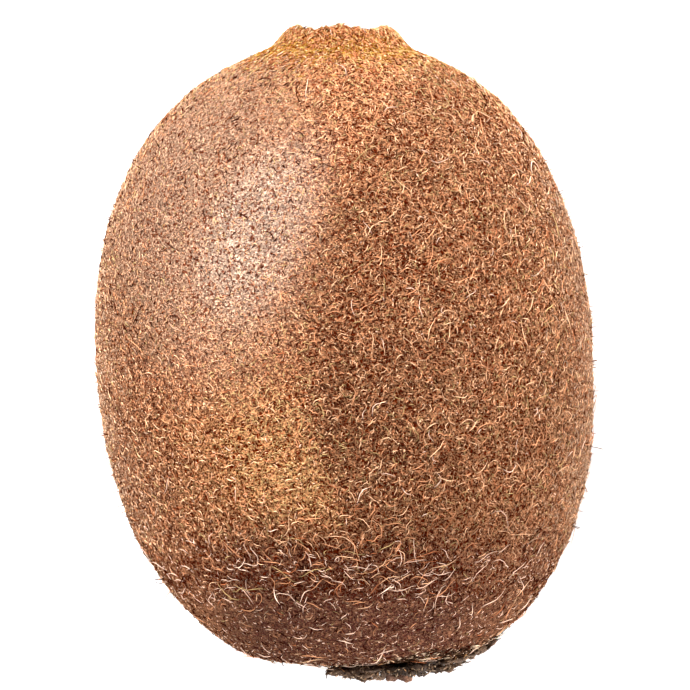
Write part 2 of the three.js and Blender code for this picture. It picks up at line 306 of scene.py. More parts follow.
@dataclass(frozen=True)
class SkinFinish:
    """Dull brown skin under matted felt, with painted light: paler on one flank as a painted highlight and darker
    past the ridge as painted shade.
    """

    tan: Colour = (0.29, 0.155, 0.08)
    russet: Colour = (0.28, 0.13, 0.066)
    olive: Colour = (0.40, 0.25, 0.085)
    # Painted sheen: the pale colour of the shoulder's highlight and of the sides' rim sheen.
    painted_sheen: Colour = (0.335, 0.203, 0.136)
    # Painted highlight: the pale cream of the brightest spot on the flank's ridge.
    pale: Colour = (0.46, 0.35, 0.275)
    # Darker stem end: partly the skin's own duskier tone, partly painted shade.
    dusky_and_shade: Colour = (0.088, 0.036, 0.034)
    strand: Colour = (0.46, 0.19, 0.085)
    deep: Colour = (0.085, 0.009, 0.001)
    amber: Colour = (0.28, 0.10, 0.018)

    def build(self) -> bpy.types.Material:
        """Makes the material.

        Returns:
            The skin material.
        """
        g = Graph("kiwi_skin", Roughness=0.8, Specular_IOR_Level=0.0)
        p = g.place()
        x, y, z = g.axes(p)
        upper = z.ramp(*UPPER_SIDE)
        broad = g.noise(p, 12.0, 2.0)
        mottle = g.noise(p, 2.2, 3.0, 0.6)
        felt = g.noise(p, 0.22, 1.5, 0.8)
        grain = g.noise(p, 0.2, 1.0)
        matted = g.strands(p, 0.62, 0.11, 0.0).math("MAXIMUM", g.strands(p, 0.46, 0.12, 31.0) * 0.85)
        base = g.mix(broad.ramp(0.35, 0.65), self.tan, self.russet)
        # Darker stem end, strongest on the upper side and less to the left and right: partly duskier skin, partly
        # painted shade.
        low = (y + (broad - 0.5) * 8.0).ramp(-21.0, -15.0, 0.85, 0.0) * z.ramp(*UPPER_SIDE, 0.5, 1.0)
        base = g.mix(low * x.ramp(-17.0, -8.0, 0.2, 1.0) * x.ramp(9.0, 17.0, 1.0, 0.6), base, self.dusky_and_shade)
        off = x + RIDGE_SHIFT - (y - RIDGE_Y) * (y - RIDGE_Y) * RIDGE_BEND
        flank = off.ramp(*FLANK_RISE) * off.ramp(*FLANK_FALL, 1.0, 0.0) * y.ramp(*FLANK_FOOT)
        # Olive tint on the lower flank, partly the skin's own and partly the ridge's painted highlight running
        # down.
        base = g.mix(flank * y.ramp(-11.0, 0.0, 0.7, 0.0) * upper, base, self.olive)
        # The sheen: a painted highlight on the left shoulder, where the felt is also thinner and smoother.
        aside, ahead = x + SHEEN_SHIFT, y - SHEEN_Y
        sheen = aside * aside * SHEEN_FALL[0] + ahead * ahead * SHEEN_FALL[1]
        sheen = sheen.ramp(0.0, SHEEN_END, 1.0, 0.0) * upper
        # Painted highlight at the ridge's brightest spot.
        highlight_core = off * off * 0.03 + off * 0.25 + 0.52 + (y - 13.0) * (y - 13.0) * 0.011
        highlight_core = highlight_core.ramp(0.0, 1.6, 1.0, 0.0) * upper
        limb = z.ramp(27.0, 41.0, 1.0, 0.0) * z.ramp(4.0, 22.0, 0.3, 1.0)
        limb = limb * y.ramp(-28.0, -12.0) * y.ramp(12.0, 27.0, 1.0, 0.0)
        rough = 1.0 - sheen.math("MAXIMUM", limb * 0.6) * 0.85
        # Painted rim sheen: the sides take some of the sheen's pale colour.
        base = g.mix(limb * 0.4, base, self.painted_sheen)
        # Painted highlight: the shoulder's sheen in its pale colour.
        base = g.mix(sheen * 0.85, base, self.painted_sheen)
        base = g.mix(highlight_core * 0.6, base, self.pale)
        base = g.mix(y.ramp(28.5, 32.0, 0.0, 0.85), base, self.amber)
        net = g.strands(p, 0.4, 0.13, 57.0)
        base = g.dim(base, 1.0 + sheen * (net - 0.36))
        dots = g.noise(p, 0.28, 1.0, 0.5).ramp(0.39, 0.47, 0.95, 0.0)
        base = g.mix(dots * sheen.math("MAXIMUM", limb * 0.6), base, self.deep)
        base = g.mix(matted * rough * y.ramp(-24.0, -17.0, 0.4, 0.8), base, self.strand)
        gaps = (felt * 0.8 + matted * 0.3).ramp(0.42, 0.56, 1.0, 0.0)
        base = g.mix(gaps * rough * y.ramp(-27.0, -23.5, 0.5, 1.0), base, self.deep)
        # Painted light on the upper side: a painted rim highlight on the right side, a painted highlight along the
        # flank's ridge and painted shade past it.
        right = x.ramp(12.0, 22.0, 0.0, 0.11) * y.ramp(-9.0, 3.0) * y.ramp(9.0, 17.0, 1.0, 0.3)
        beyond = y.ramp(-4.0, 6.0, 0.12, 0.0) * x.ramp(8.0, 15.0, 1.0, 0.0) + 0.045
        shade = flank * y.ramp(4.0, 14.0, 0.5, 0.3) + right - off.ramp(0.0, 5.0) * beyond
        # Painted highlight on the stem end's left.
        shade = shade + y.ramp(-21.0, -14.0, 1.0, 0.0) * x.ramp(-16.0, -8.0, 0.3, 0.0)
        shade = shade * upper + 1.0
        base = g.dim(base, mottle.ramp(0.3, 0.75, 0.95, 1.05) * shade * grain.ramp(0.36, 0.64, 0.62, 1.38))
        cells = {"Vector": p, "Scale": 0.62, "Randomness": 1.0}
        lenticels = g.add("ShaderNodeTexVoronoi", {}, cells, "Distance")
        base = g.mix(lenticels.ramp(0.06, 0.13, 0.6, 0.0), base, self.deep)
        relief = (matted * 0.7 + felt) * rough + grain * 0.5 + net * sheen * 0.5
        g.finish(base, felt.ramp(0.3, 0.7, 0.9, 0.7), relief, 0.35)
        return g.material


@dataclass(frozen=True)
class HairFinish:
    """Dry hairs, darker at the root. The map's columns give each hair its tone and its brightness."""

    name: str
    tones: tuple[Colour, ...]
    root: float = 0.38
    roughness: float = 0.6

    def build(self) -> bpy.types.Material:
        """Makes the material.

        Returns:
            The hair material.
        """
        g = Graph(self.name, Roughness=self.roughness, Specular_IOR_Level=0.0)
        spot = g.add("ShaderNodeUVMap", {"uv_map": HAIR_MAP}, {})
        across, along, _ = g.axes(spot)
        column = (across * (TONES * SHADES)).math("FLOOR")
        tone = ((column + 0.5) * (1.0 / SHADES)).math("FLOOR")
        shade = (column - tone * SHADES) * SHADE_STEP + DIMMEST
        colour = g.add("ShaderNodeValToRGB", {"bands": self.tones}, {0: (tone + 0.5) * (1.0 / TONES)})
        g.finish(g.dim(colour, along.ramp(0.0, 0.5, self.root, 1.12) * shade))
        return g.material


@dataclass(frozen=True)
class DryFinish:
    """Withered tissue: dark, streaked and dusty. One with a dark middle is darker across its middle than at its
    ends.
    """

    name: str
    dark: Colour
    light: Colour
    dust: Colour
    streak: float = 0.35
    dark_middle: bool = False

    def build(self) -> bpy.types.Material:
        """Makes the material.

        Returns:
            The material of the dry tissue.
        """
        g = Graph(self.name, Roughness=0.85)
        p = g.place()
        fine = g.noise(p, self.streak, 4.0, 1.8)
        broad = g.noise(p, 1.7, 2.0, 0.4)
        base = g.mix((fine * 0.7 + broad * 0.4).ramp(0.42, 0.72), self.dark, self.light)
        base = g.mix(g.noise(p, 0.8, 4.0, 1.0).ramp(0.58, 0.72, 0.0, 0.8), base, self.dust)
        # Darker across the middle, from about x = 5.5 to 9 mm, and brighter towards the ends.
        if self.dark_middle:
            x, _, _ = g.axes(p)
            base = g.dim(base, 1.4 - x.ramp(2.5, 5.5) * x.ramp(9.0, 12.0, 1.0, 0.0) * 0.85)
        g.finish(base, fine.ramp(0.3, 0.7, 0.95, 0.7), fine + broad, 0.25)
        return g.material


@dataclass(frozen=True)
class FloorFinish:
    """Plain pale floor."""

    colour: Colour = (0.7, 0.695, 0.69)
    glow: float = 0.8

    def build(self) -> bpy.types.Material:
        """Makes the material.

        Returns:
            The floor material.
        """
        g = Graph("pale_floor", Roughness=0.9, Emission_Strength=self.glow)
        g.shader.inputs["Base Color"].default_value = (*self.colour, 1.0)
        g.shader.inputs["Emission Color"].default_value = (1.0, 1.0, 1.0, 1.0)
        return g.material


@dataclass(frozen=True)
class HairPattern:
    """One hair as modelled: where each of its points lies along and round it, and its faces."""

    along: np.ndarray
    around: np.ndarray
    faces: np.ndarray


def model_hair(cuts: int) -> HairPattern:
    """Models one closed three-sided hair, pointed at its tip.

    Args:
        cuts: Rings between root and tip.

    Returns:
        The hair to copy.
    """
    bpy.ops.object.select_all(action="DESELECT")
    bpy.ops.mesh.primitive_cone_add(vertices=3, radius1=1.0, radius2=0.0, depth=1.0, location=(0.0, 0.0, 0.5))
    hair = bpy.context.object
    bpy.ops.object.mode_set(mode="EDIT")
    for cut in range(cuts):
        bpy.ops.mesh.select_all(action="SELECT")
        bpy.ops.mesh.bisect(plane_co=(0.0, 0.0, (cut + 1) / (cuts + 1)), plane_no=(0.0, 0.0, 1.0))
    bpy.ops.mesh.select_all(action="SELECT")
    bpy.ops.mesh.quads_convert_to_tris()
    bpy.ops.object.mode_set(mode="OBJECT")
    points = np.array([v.co for v in hair.data.vertices])
    faces = np.array([p.vertices[:] for p in hair.data.polygons])
    mesh = hair.data
    bpy.data.objects.remove(hair)
    bpy.data.meshes.remove(mesh)
    return HairPattern(points[:, 2] + 0.5, np.arctan2(points[:, 1], points[:, 0]), faces)


@dataclass
class Coat:
    """Where a set of hairs stands and how each one lies. All lengths are in millimetres."""

    root: np.ndarray
    normal: np.ndarray
    heading: np.ndarray
    length: np.ndarray
    width: np.ndarray
    curl: np.ndarray
    rise: np.ndarray
    tone: np.ndarray
    shade: np.ndarray
    wave: float = 0.0

    def centreline(self, along: np.ndarray) -> np.ndarray:
        """Points of every hair's middle line.

        Args:
            along: Places along the hair, from 0 to 1.

        Returns:
            An array of hairs by places by 3.
        """
        t = along[None, :]
        bend = np.where(np.abs(self.curl) < 0.05, 0.05, self.curl)[:, None]
        reach = np.sqrt(np.maximum(self.length**2 - self.rise**2, (0.2 * self.length) ** 2))[:, None]
        ahead = reach * np.sin(bend * t) / bend
        phase = 9.0 * bend
        wave = np.sin(phase + 6.5 * t) - np.sin(phase)
        aside = reach * ((1.0 - np.cos(bend * t)) / bend + self.wave * wave)
        up = self.rise[:, None] * (1.0 - (1.0 - t) ** 2) * (1.0 - 0.25 * t**2) - 0.06
        side = np.cross(self.normal, self.heading)
        return (
            self.root[:, None, :]
            + ahead[..., None] * self.heading[:, None, :]
            + aside[..., None] * side[:, None, :]
            + up[..., None] * self.normal[:, None, :]
        )

    def points(self, pattern: HairPattern) -> np.ndarray:
        """Corners of every hair.

        Args:
            pattern: The hair to copy.

        Returns:
            An array of hairs by corners by 3.
        """
        middle = self.centreline(pattern.along)
        ahead = self.centreline(np.minimum(pattern.along + 0.05, 1.05))
        forward = ahead - middle
        forward /= np.linalg.norm(forward, axis=-1, keepdims=True)
        side = np.cross(forward, self.normal[:, None, :])
        side /= np.maximum(np.linalg.norm(side, axis=-1, keepdims=True), 1e-6)
        top = np.cross(side, forward)
        taper = 1.0 - 0.92 * pattern.along**2.2
        radius = (0.5 * self.width)[:, None] * taper[None, :]
        turn = pattern.around[None, :, None]
        return middle + radius[..., None] * (np.cos(turn) * side + np.sin(turn) * top)

    def part(self, keep: np.ndarray) -> "Coat":
        """The hairs that are kept.

        Args:
            keep: Mask or index of the hairs.

        Returns:
            The smaller coat.
        """
        return Coat(*(value[keep] for value in list(vars(self).values())[:-1]), self.wave)


def mesh_of_hairs(name: str, coat: Coat, pattern: HairPattern) -> bpy.types.Object:
    """Copies a hair to every root and joins the copies in one mesh.

    Args:
        name: Name of the piece.
        coat: The hairs.
        pattern: The hair to copy.

    Returns:
        The piece.
    """
    count, corners = len(coat.root), len(pattern.along)
    points = coat.points(pattern) * MM
    points[..., 2] = np.maximum(points[..., 2], 0.0)
    faces = (pattern.faces[None] + np.arange(count)[:, None, None] * corners).reshape(-1, 3)
    mesh = bpy.data.meshes.new(name)
    mesh.vertices.add(count * corners)
    mesh.vertices.foreach_set("co", points.astype(np.float32).ravel())
    mesh.loops.add(faces.size)
    mesh.loops.foreach_set("vertex_index", faces.astype(np.int32).ravel())
    mesh.polygons.add(len(faces))
    mesh.polygons.foreach_set("loop_start", np.arange(0, faces.size, 3, dtype=np.int32))
    mesh.polygons.foreach_set("use_smooth", np.ones(len(faces), dtype=bool))
    mesh.update(calc_edges=True)
    step_of_shade = np.clip(np.round((coat.shade - DIMMEST) / SHADE_STEP), 0, SHADES - 1)
    column = (coat.tone * SHADES + step_of_shade + 0.5) / (TONES * SHADES)
    spread = 0.2 / (TONES * SHADES) * np.cos(pattern.around + 0.3) * np.where(pattern.along > 0.99, 0.0, 1.0)
    u = column[:, None] + spread[None, :]
    v = np.broadcast_to(0.01 + 0.98 * pattern.along, u.shape)
    spots = np.stack([u, v], axis=-1).reshape(-1, 2)[faces.ravel()]
    mesh.uv_layers.new(name=HAIR_MAP).data.foreach_set("uv", spots.astype(np.float32).ravel())
    piece = bpy.data.objects.new(name, mesh)
    bpy.context.scene.collection.objects.link(piece)
    return piece


def hand_over(piece: bpy.types.Object, material: bpy.types.Material, slot: str, *nodes: str) -> None:
    """Dresses a finished piece and gives it its place in the frame.

    Args:
        piece: The piece.
        material: Its material.
        slot: The record's material slot; not used.
        nodes: CAD nodes that it stands for.
    """
    piece.data.materials.clear()
    piece.data.materials.append(material)
    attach(piece, "root")
    if nodes:
        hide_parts(*nodes)
    log.info("%s: %d faces", piece.name, len(piece.data.polygons))


def copy_of_node(node: str, name: str, levels: int, quads: bool = False) -> bpy.types.Object:
    """Merged and subdivided copy of a CAD node.

    Args:
        node: The node's name.
        name: Name of the copy.
        levels: Subdivision levels.
        quads: Whether its triangles are paired first.

    Returns:
        The copy.
    """
    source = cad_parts[node]
    piece = bpy.data.objects.new(name, source.data.copy())
    bpy.context.scene.collection.objects.link(piece)
    bpy.ops.object.select_all(action="DESELECT")
    bpy.context.view_layer.objects.active = piece
    piece.select_set(True)
    bpy.ops.object.mode_set(mode="EDIT")
    bpy.ops.mesh.select_all(action="SELECT")
    bpy.ops.mesh.remove_doubles(threshold=1e-6)
    if quads:
        bpy.ops.mesh.tris_convert_to_quads(face_threshold=math.radians(50), shape_threshold=math.radians(60))
    bpy.ops.object.mode_set(mode="OBJECT")
    while piece.data.uv_layers:
        piece.data.uv_layers.remove(piece.data.uv_layers[0])
    smooth = piece.modifiers.new("smooth", "SUBSURF")
    smooth.levels = smooth.render_levels = levels
    bpy.ops.object.modifier_apply(modifier=smooth.name)
    bpy.ops.object.shade_smooth()
    return piece


class Tone(IntEnum):
    """Place of each colour among the fuzz's tones."""

    GAP = 0
    BROWN = 1
    RUSSET = 2
    TAN = 3
    STRAW = 4
    KHAKI = 5
    FROST = 6
    GREY = 7


SHEEN_MIX = (Tone.GAP, Tone.BROWN, Tone.TAN, Tone.TAN, Tone.KHAKI, Tone.STRAW)
PLUM_MIX = (Tone.GAP, Tone.GAP, Tone.BROWN, Tone.FROST)
GREY_MIX = (Tone.GAP, Tone.GAP, Tone.GREY, Tone.FROST, Tone.FROST)
GOLDEN_SWAPS = (
    (Tone.GAP, Tone.RUSSET),
    (Tone.TAN, Tone.KHAKI),
    (Tone.STRAW, Tone.TAN),
    (Tone.BROWN, Tone.KHAKI),
)


class Zone(Enum):
    """Which hairs are laid: stubble, short fuzz, curly middle hairs, or long pale ones."""

    STUBBLE = "stubble"
    FUZZ = "fuzz"
    CURLS = "curls"
    LONG = "long"


@dataclass
class Skin:
    """The berry's skin, over which the fuzz is laid."""

    levels: int = 1

    def build(self) -> bpy.types.Object:
        """Makes the skin from the CAD body.

        Returns:
            The skin piece.
        """
        self.piece = copy_of_node("fruit", "fruit_skin", self.levels, quads=True)
        hand_over(self.piece, SkinFinish().build(), "skin", "fruit")
        return self.piece


class Ground:
    """Triangles of a piece on which hairs can stand. All lengths are in millimetres."""

    def __init__(self, piece: bpy.types.Object) -> None:
        """Reads the piece's triangles.

        Args:
            piece: The piece.
        """
        mesh = piece.data
        mesh.calc_loop_triangles()
        count = len(mesh.vertices)
        points, normals = np.empty(count * 3, np.float32), np.empty(count * 3, np.float32)
        mesh.vertices.foreach_get("co", points)
        mesh.vertices.foreach_get("normal", normals)
        faces = np.empty(len(mesh.loop_triangles) * 3, np.int32)
        mesh.loop_triangles.foreach_get("vertices", faces)
        faces = faces.reshape(-1, 3)
        self.corners = points.reshape(-1, 3)[faces].astype(float) / MM
        self.normals = normals.reshape(-1, 3)[faces].astype(float)
        self.middle = self.corners.mean(1)
        edges = self.corners[:, 1:] - self.corners[:, :1]
        self.areas = 0.5 * np.linalg.norm(np.cross(edges[:, 0], edges[:, 1]), axis=1)

    def scatter(
        self, draw: np.random.Generator, density: float, weight: np.ndarray
    ) -> tuple[np.ndarray, np.ndarray]:
        """Draws roots over the triangles.

        Args:
            draw: The random numbers.
            density: Roots on a square millimetre where the weight is 1.
            weight: Relative density on each triangle.

        Returns:
            Roots and normals.
        """
        count = int(density * (self.areas * weight).sum())
        share = np.cumsum(self.areas * weight)
        pick = np.searchsorted(share, (np.arange(count) + draw.random(count)) / count * share[-1])
        pick = np.minimum(pick, len(share) - 1)
        a, b = draw.random((2, count))
        flip = a + b > 1.0
        a, b = np.where(flip, 1 - a, a), np.where(flip, 1 - b, b)
        parts = np.stack([1 - a - b, a, b], axis=1)[:, :, None]
        normal = (self.normals[pick] * parts).sum(1)
        return (self.corners[pick] * parts).sum(1), normal / np.linalg.norm(normal, axis=1, keepdims=True)


def along_surface(wish: np.ndarray, normal: np.ndarray) -> np.ndarray:
    """Turns wished directions into unit directions along a surface.

    Args:
        wish: The directions.
        normal: The surface's normals.

    Returns:
        Unit directions at right angles to the normals.
    """
    flat = wish - (wish * normal).sum(1, keepdims=True) * normal
    return flat / np.maximum(np.linalg.norm(flat, axis=1, keepdims=True), 1e-6)


def step(low: float, high: float, value: np.ndarray) -> np.ndarray:
    """Smooth step of an array from 0 to 1.

    Args:
        low: Where the step starts.
        high: Where it ends.
        value: The values.

    Returns:
        The stepped values.
    """
    t = np.clip((value - low) / (high - low), 0.0, 1.0)
    return t * t * (3.0 - 2.0 * t)


def swirl(points: np.ndarray, size: float, seed: int) -> np.ndarray:
    """Soft irregular pattern between about -1 and 1.

    Args:
        points: Points in millimetres.
        size: Size of its features in millimetres.
        seed: Chooses the pattern.

    Returns:
        One value for each point.
    """
    draw = np.random.default_rng(seed)
    total = np.zeros(len(points))
    for _ in range(5):
        wave = draw.normal(size=3)
        wave *= 2.0 * math.pi / size / np.linalg.norm(wave) * draw.uniform(0.6, 1.3)
        total += np.sin(points @ wave + draw.uniform(0, 6.28))
    return total / 2.5


def past_ridge(x: np.ndarray, y: np.ndarray) -> np.ndarray:
    """How far to the right of the left flank's ridge places lie, in millimetres.

    Args:
        x: Their x in millimetres.
        y: Their y in millimetres.

    Returns:
        The distances, below 0 on the left of the ridge.
    """
    return x + RIDGE_SHIFT - RIDGE_BEND * (y - RIDGE_Y) ** 2


def brightness_at(points: np.ndarray) -> np.ndarray:
    """How bright the coat is painted, 1 on most of it: a painted highlight along the flank's ridge, painted shade
    beyond it.

    Args:
        points: Points in millimetres.

    Returns:
        One value for each point.
    """
    x, y, z = points.T
    off = past_ridge(x, y)
    flank = step(*FLANK_RISE, off) * step(*reversed(FLANK_FALL), off) * step(*FLANK_FOOT, y)
    height = 0.30 + 0.2 * step(14.0, 4.0, y)
    # Painted highlight along the flank's ridge, painted shade past it.
    level = height * flank - (0.045 + 0.12 * step(6.0, -4.0, y) * step(15.0, 8.0, x)) * step(0.0, 5.0, off)
    # Painted rim highlight on the right side.
    level = level + 0.11 * step(12.0, 22.0, x) * step(-9.0, 3.0, y) * (0.3 + 0.7 * step(17.0, 9.0, y))
    # Darker towards the collar, with painted shade on the collar's right side.
    level = level - 0.16 * step(20.0, 29.0, y) - 0.12 * step(24.0, 30.0, y) * step(3.0, 8.0, x)
    # Painted highlight on the stem end's left, painted shade on its right.
    level = level + step(-14.0, -21.0, y) * (0.3 - 0.6 * step(-16.0, -8.0, x))
    return 1.0 + step(*UPPER_SIDE, z) * level


def sheen_at(points: np.ndarray) -> np.ndarray:
    """How much of the pale sheen on the left shoulder there is, from 0 to 1: a painted highlight where the hair is
    also thinner.

    Args:
        points: Points in millimetres.

    Returns:
        One value for each point.
    """
    x, y, z = points.T
    away = SHEEN_FALL[0] * (x + SHEEN_SHIFT) ** 2 + SHEEN_FALL[1] * (y - SHEEN_Y) ** 2
    return step(SHEEN_END, 0.0, away) * step(*UPPER_SIDE, z)


def khaki_at(points: np.ndarray) -> np.ndarray:
    """How khaki the coat is, along the lower half of the flank's ridge, from 0 to 1: an olive tint that is partly
    the ridge's painted highlight running down.

    Args:
        points: Points in millimetres.

    Returns:
        One value for each point.
    """
    x, y, z = points.T
    off = past_ridge(x, y)
    across = step(-9.0, -2.5, off) * step(4.5, 0.0, off)
    return across * step(5.0, -6.0, y) * step(-19.0, -13.0, y) * step(*UPPER_SIDE, z)


def limb_at(points: np.ndarray) -> np.ndarray:
    """How much a place belongs to the sides, where long hairs are few and tones greyer and paler as a painted rim
    sheen, from 0 to 1.

    Args:
        points: Points in millimetres.

    Returns:
        One value for each point.
    """
    _, y, z = points.T
    sides = step(41.0, 27.0, z) * (0.3 + 0.7 * step(4.0, 22.0, z))
    return sides * step(-28.0, -12.0, y) * step(27.0, 12.0, y)


@dataclass
class Fuzz:
    """The fruit's coat of hairs. Densities are per square millimetre on the upper side."""

    stubble_density: float = 13.4
    fuzz_density: float = 4.1
    curl_density: float = 1.3
    long_density: float = 0.5
    under_share: float = 0.36
    seed: int = 5

    def lay(self, skin: Skin) -> list[bpy.types.Object]:
        """Lays all hairs of the skin.

        Args:
            skin: The skin they stand on.

        Returns:
            The pieces.
        """
        self.draw = np.random.default_rng(self.seed)
        self.ground = Ground(skin.piece)
        made = []
        body = HairFinish("fuzz", FUZZ_TONES).build()
        for zone, density, cuts in (
            (Zone.STUBBLE, self.stubble_density, 0),
            (Zone.FUZZ, self.fuzz_density, 1),
            (Zone.CURLS, self.curl_density, 3),
            (Zone.LONG, self.long_density, 4),
        ):
            pattern = model_hair(cuts)
            coat = self.coat(zone, density)
            most = MOST_FACES // len(pattern.faces)
            pieces = max(1, math.ceil(len(coat.root) / most))
            order = self.draw.permutation(len(coat.root))
            for i, share in enumerate(np.array_split(order, pieces)):
                piece = mesh_of_hairs(f"{zone.value}_{i + 1}", coat.part(share), pattern)
                hand_over(piece, body, "skin")
                made.append(piece)
        made.append(self.tuft())
        return made

    def flow(self, root: np.ndarray, normal: np.ndarray, spread: np.ndarray) -> np.ndarray:
        """Direction in which each hair lies, along the skin.

        Args:
            root: Roots.
            normal: Skin normals.
            spread: How far each hair may turn off the common direction, in radians.

        Returns:
            Unit directions in the skin's plane.
        """
        towards_collar = np.array([0.0, 1.0, 0.0])
        across = np.array([1.0, 0.25, 0.0])
        low = step(*STEM_END, root[:, 1])[:, None]
        either_way = np.sign(self.draw.normal(size=len(root)))[:, None]
        common = towards_collar * (1 - low) + across * low * either_way
        common = common + 0.6 * np.array([1.0, 0.0, 0.0]) * step(0, -12, root[:, 0])[:, None]
        flat = along_surface(common, normal)
        side = np.cross(normal, flat)
        turn = (spread * self.draw.normal(size=len(root)))[:, None]
        return np.cos(turn) * flat + np.sin(turn) * side

    def weights(self, zone: Zone) -> np.ndarray:
        """Relative density of one kind of hair on each triangle of the skin.

        Args:
            zone: The kind.

        Returns:
            The weights.
        """
        middle = self.ground.middle
        upper = self.under_share + (1 - self.under_share) * step(6.0, 16.0, middle[:, 2])
        bare_and_sheen = sheen_at(middle)
        weight = upper * (1.0 - 0.4 * bare_and_sheen) * (0.9 + 0.1 * swirl(middle, 6.0, 3).clip(-1, 1))
        lowest = step(-16.0, -22.0, middle[:, 1])
        weight = weight * (1.0 - 0.5 * step(-22.5, -27.0, middle[:, 1]))
        collar = step(*COLLAR, middle[:, 1])
        if zone is Zone.STUBBLE:
            weight = weight * (1.0 - 0.45 * lowest)
        elif zone is Zone.FUZZ:
            weight = weight * (1.0 - 0.2 * lowest) * (1.0 + 0.9 * collar)
        else:
            weight = weight * (1.0 - 0.55 * limb_at(middle)) * (1.0 - 0.75 * collar)
        if zone is Zone.LONG:
            right = step(-6.0, 8.0, middle[:, 0]) * (1 - 0.8 * lowest)
            ring = np.exp(-(((middle[:, 1] + 21.6) / 3.3) ** 2)) * step(15.0, 9.0, np.abs(middle[:, 0] + 1.0))
            ring = ring * (0.35 + 0.65 * step(*UPPER_SIDE, middle[:, 2]))
            weight = weight * (0.3 + 0.8 * right + 2.8 * ring) * (1 - 0.9 * bare_and_sheen)
        return weight * step(0.02, 1.0, middle[:, 2])

    def habit(self, zone: Zone, root: np.ndarray, low: np.ndarray) -> tuple[Any, ...]:
        """Draws how the hairs of one kind grow.

        Args:
            zone: The kind.
            root: Roots.
            low: How much each root belongs to the stem end, from 0 to 1.

        Returns:
            Lengths, widths, curls, rises and spreads, and the chance of each tone.
        """
        draw, count = self.draw, len(root)
        if zone is Zone.STUBBLE:
            length, width = draw.uniform(0.22, 0.45, count), draw.uniform(0.12, 0.17, count)
            curl, rise = np.zeros(count), draw.uniform(0.06, 0.2, count)
            spread, chances = np.full(count, 1.6), (0.33, 0.11, 0.06, 0.12, 0.26, 0.12, 0.0, 0.0)
        elif zone is Zone.FUZZ:
            length, width = draw.uniform(0.3, 0.7, count), draw.uniform(0.105, 0.14, count)
            curl, rise = draw.normal(0, 1.4, count), draw.uniform(0.06, 0.22, count)
            spread, chances = np.full(count, 1.5), (0.27, 0.11, 0.06, 0.16, 0.28, 0.11, 0.01, 0.0)
        elif zone is Zone.CURLS:
            length, width = draw.uniform(0.6, 1.6, count), draw.uniform(0.085, 0.115, count)
            curl, rise = draw.normal(0, 2.2, count), draw.uniform(0.12, 0.36, count)
            spread, chances = np.full(count, 1.4), (0.07, 0.08, 0.14, 0.32, 0.28, 0.10, 0.01, 0.0)
        else:
            band = step(-15.0, -21.0, root[:, 1])
            length = (draw.gamma(5.0, 0.34, count) * (1 + 0.2 * band)).clip(0.8, 4.0)
            width = draw.uniform(0.085, 0.115, count) * (1 + 0.15 * low)
            curl = draw.normal(0, 1.8, count) * (1 - 0.4 * band)
            rise = draw.uniform(0.2, 0.6, count) * (1 - 0.35 * band)
            spread, chances = 1.5 - 1.15 * band, (0.0, 0.0, 0.14, 0.40, 0.26, 0.12, 0.08, 0.0)
        return length, width, curl, rise, spread, chances

    def tones(self, zone: Zone, root: np.ndarray, low: np.ndarray, chances: tuple[float, ...]) -> np.ndarray:
        """Draws the tone of each hair by the part of the fruit on which it stands.

        Args:
            zone: The kind of the hairs.
            root: Roots.
            low: How much each root belongs to the stem end, from 0 to 1.
            chances: Chance of each tone on the open skin.

        Returns:
            The tones.
        """
        draw, count = self.draw, len(root)
        bare_and_sheen, limb = sheen_at(root), limb_at(root)
        tone = draw.choice(TONES, count, p=chances)
        tone = np.where(draw.random(count) < bare_and_sheen, draw.choice(SHEEN_MIX, count), tone)
        # Pale grey hairs paint the shoulder's sheen and the sides' rim sheen.
        tone = np.where(draw.random(count) < np.maximum(0.5 * bare_and_sheen, 0.6 * limb), Tone.GREY, tone)
        # Khaki hairs along the lower ridge, partly the ridge's painted highlight.
        tone = np.where(draw.random(count) < 0.4 * khaki_at(root), Tone.KHAKI, tone)
        golden = draw.random(count) < 0.7 * step(*COLLAR, root[:, 1])
        for plain, gold in GOLDEN_SWAPS:
            tone = np.where(golden & (tone == plain), gold, tone)
        if zone is Zone.LONG:
            tone = np.where(draw.random(count) < 0.6 * low, Tone.FROST, tone)
        return tone

    def coat(self, zone: Zone, density: float) -> Coat:
        """Lays the hairs of one kind.

        Args:
            zone: The kind.
            density: Hairs on a square millimetre of the upper side.

        Returns:
            The hairs.
        """
        draw = self.draw
        root, normal = self.ground.scatter(draw, density, self.weights(zone))
        count = len(root)
        near_collar, low = step(*COLLAR, root[:, 1]), step(*STEM_END, root[:, 1])
        bare_and_sheen, limb = sheen_at(root), limb_at(root)
        length, width, curl, rise, spread, chances = self.habit(zone, root, low)
        tone = self.tones(zone, root, low, chances)
        # Each hair's brightness carries the painted highlight and shade of brightness_at.
        shade = brightness_at(root) + draw.normal(0, 0.16, count)
        if zone is Zone.LONG:
            shade = np.maximum(shade, 0.8 + 0.4 * low)
        else:
